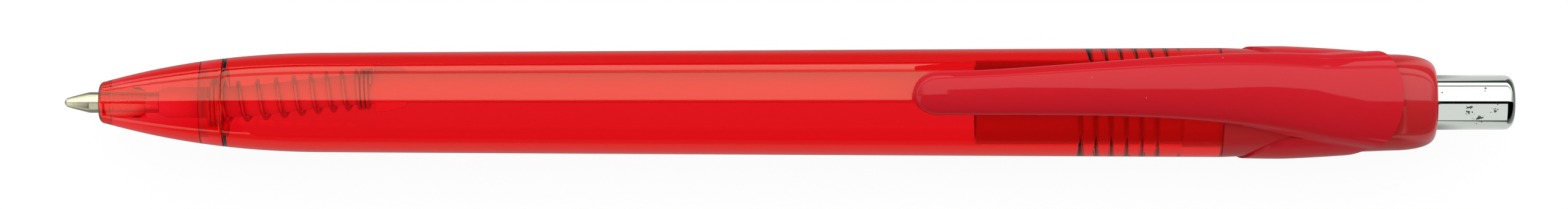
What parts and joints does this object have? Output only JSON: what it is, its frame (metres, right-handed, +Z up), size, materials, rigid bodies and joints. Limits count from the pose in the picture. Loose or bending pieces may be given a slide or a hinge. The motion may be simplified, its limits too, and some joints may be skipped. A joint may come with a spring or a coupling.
{
  "type": "retractable ball pen",
  "caption": "Retractable ball pen: see-through red barrel and nose, solid red cap with a ring clip, plated push button, sprung refill and cam mechanism inside.",
  "frame": {"origin": "under the middle of the pen's length, on the surface that it lies on", "axes": "+X along the pen towards the push button, +Z up through the clip"},
  "size_m": [0.14, 0.0108, 0.0138],
  "materials": {
    "clear_red_plastic": "clear, polished",
    "solid_red_cap": "gloss",
    "solid_red_clip": "gloss",
    "plated_button": "bright plating, scratched",
    "white_acetal": "satin",
    "milky_tube": "milky, extruded",
    "nickel_silver": "turned",
    "carbide_ball": "polished",
    "spring_steel": "drawn wire",
    "ink": "paste",
    "grease": "grease"
  },
  "bodies": {
    "housing": {"nose_cone": "clear_red_plastic", "barrel": "clear_red_plastic", "cap": "solid_red_cap", "clip": "solid_red_clip", "return_spring": "spring_steel"},
    "button": {"push_button": "plated_button", "plunger": "white_acetal"},
    "refill": {"refill_tube": "milky_tube", "point_housing": "nickel_silver", "ink_column": "ink", "ink_follower": "grease"},
    "rotor": {"rotor_cam": "white_acetal"},
    "ball": {"writing_ball": "carbide_ball"}
  },
  "joints": [
    {"name": "button_slide", "type": "slide", "parent": "housing", "child": "button", "axis": [1, 0, 0], "range_m": [-0.0012, 0.0046], "stiffness_N_per_m": 180},
    {"name": "refill_slide", "type": "slide", "parent": "housing", "child": "refill", "axis": [1, 0, 0], "range_m": [-0.0012, 0.0046], "deforming": ["return_spring"]},
    {"name": "rotor_spin", "type": "hinge", "parent": "refill", "child": "rotor", "pos_m": [0.0395, 0, 0.00544], "axis": [1, 0, 0], "continuous": true},
    {"name": "ball_roll", "type": "hinge", "parent": "refill", "child": "ball", "pos_m": [-0.06965, 0, 0.00544], "axis": [0, 1, 0], "continuous": true}
  ],
  "couplings": [
    {"joint": "refill_slide", "follows": "button_slide", "ratio": 1}
  ]
}
